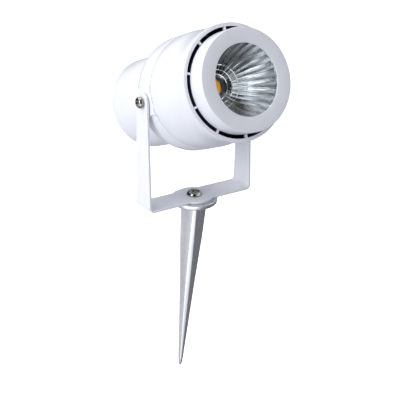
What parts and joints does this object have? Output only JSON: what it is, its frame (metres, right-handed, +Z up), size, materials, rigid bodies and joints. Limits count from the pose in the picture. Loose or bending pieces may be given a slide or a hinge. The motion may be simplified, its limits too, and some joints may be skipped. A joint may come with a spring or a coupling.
{
  "type": "garden spotlight on a ground spike",
  "caption": "White garden spotlight with a deep faceted reflector and a slotted jacket, tilting in a bent U bracket that swivels on a cast ground spike.",
  "frame": {"origin": "centre of the underside of the spike's flange, at soil level", "axes": "+Z up, out of the soil; X along the tilt axis of the lamp head; the lamp points to -Y and up at rest"},
  "size_m": [0.1236, 0.2015, 0.3686],
  "materials": {
    "white_paint": "satin",
    "cast_aluminium": "satin",
    "heat_sink_aluminium": "satin",
    "mirror_aluminium": "polished",
    "stainless_steel": "polished",
    "black_rubber": "matte",
    "clear_glass": "gloss",
    "phosphor": "satin",
    "dark_grey_plastic": "satin",
    "cob_substrate": "satin",
    "circuit_board": "satin",
    "black_plastic": "satin",
    "red_sleeve": "satin",
    "transformer_tape": "satin"
  },
  "bodies": {
    "spike": {"spike": "cast_aluminium", "base_screw": "stainless_steel"},
    "bracket": {"bracket": "white_paint"},
    "head": {"front_bezel": "white_paint", "front_glass": "clear_glass", "glass_gasket": "black_rubber", "reflector": "mirror_aluminium", "cob_board": "cob_substrate", "cob_emitter": "phosphor", "cob_holder": "dark_grey_plastic", "cob_holder_screw_1": "stainless_steel", "cob_holder_screw_2": "stainless_steel", "heat_sink": "heat_sink_aluminium", "heat_sink_screw_1": "stainless_steel", "heat_sink_screw_2": "stainless_steel", "heat_sink_screw_3": "stainless_steel", "bezel_screw_1": "stainless_steel", "bezel_screw_2": "stainless_steel", "bezel_screw_3": "stainless_steel", "shroud": "white_paint", "mid_housing": "white_paint", "housing_gasket": "black_rubber", "rear_housing": "white_paint", "rear_housing_screw_1": "stainless_steel", "rear_housing_screw_2": "stainless_steel", "rear_housing_screw_3": "stainless_steel", "lead_grommet": "black_rubber", "led_lead_positive": "red_sleeve", "led_lead_negative": "black_plastic", "driver_tray": "black_plastic", "driver_board": "circuit_board", "driver_transformer": "transformer_tape", "driver_capacitor_1": "black_plastic", "driver_capacitor_2": "black_plastic", "driver_inductor": "black_plastic", "terminal_block": "dark_grey_plastic", "gland_body": "black_plastic", "gland_o_ring": "black_rubber", "gland_lock_nut": "black_plastic", "gland_seal": "black_rubber", "gland_nut": "black_plastic", "pivot_screw_left": "stainless_steel", "pivot_lock_washer_left": "stainless_steel", "pivot_spacer_left": "black_rubber", "pivot_screw_right": "stainless_steel", "pivot_lock_washer_right": "stainless_steel", "pivot_spacer_right": "black_rubber"}
  },
  "joints": [
    {"name": "bracket_swivel", "type": "hinge", "parent": "spike", "child": "bracket", "pos_m": [0, 0, 0.0063], "axis": [0, 0, 1], "continuous": true},
    {"name": "head_tilt", "type": "hinge", "parent": "bracket", "child": "head", "pos_m": [0, 0, 0.1098], "axis": [1, 0, 0], "range_deg": [-34, 78]}
  ]
}
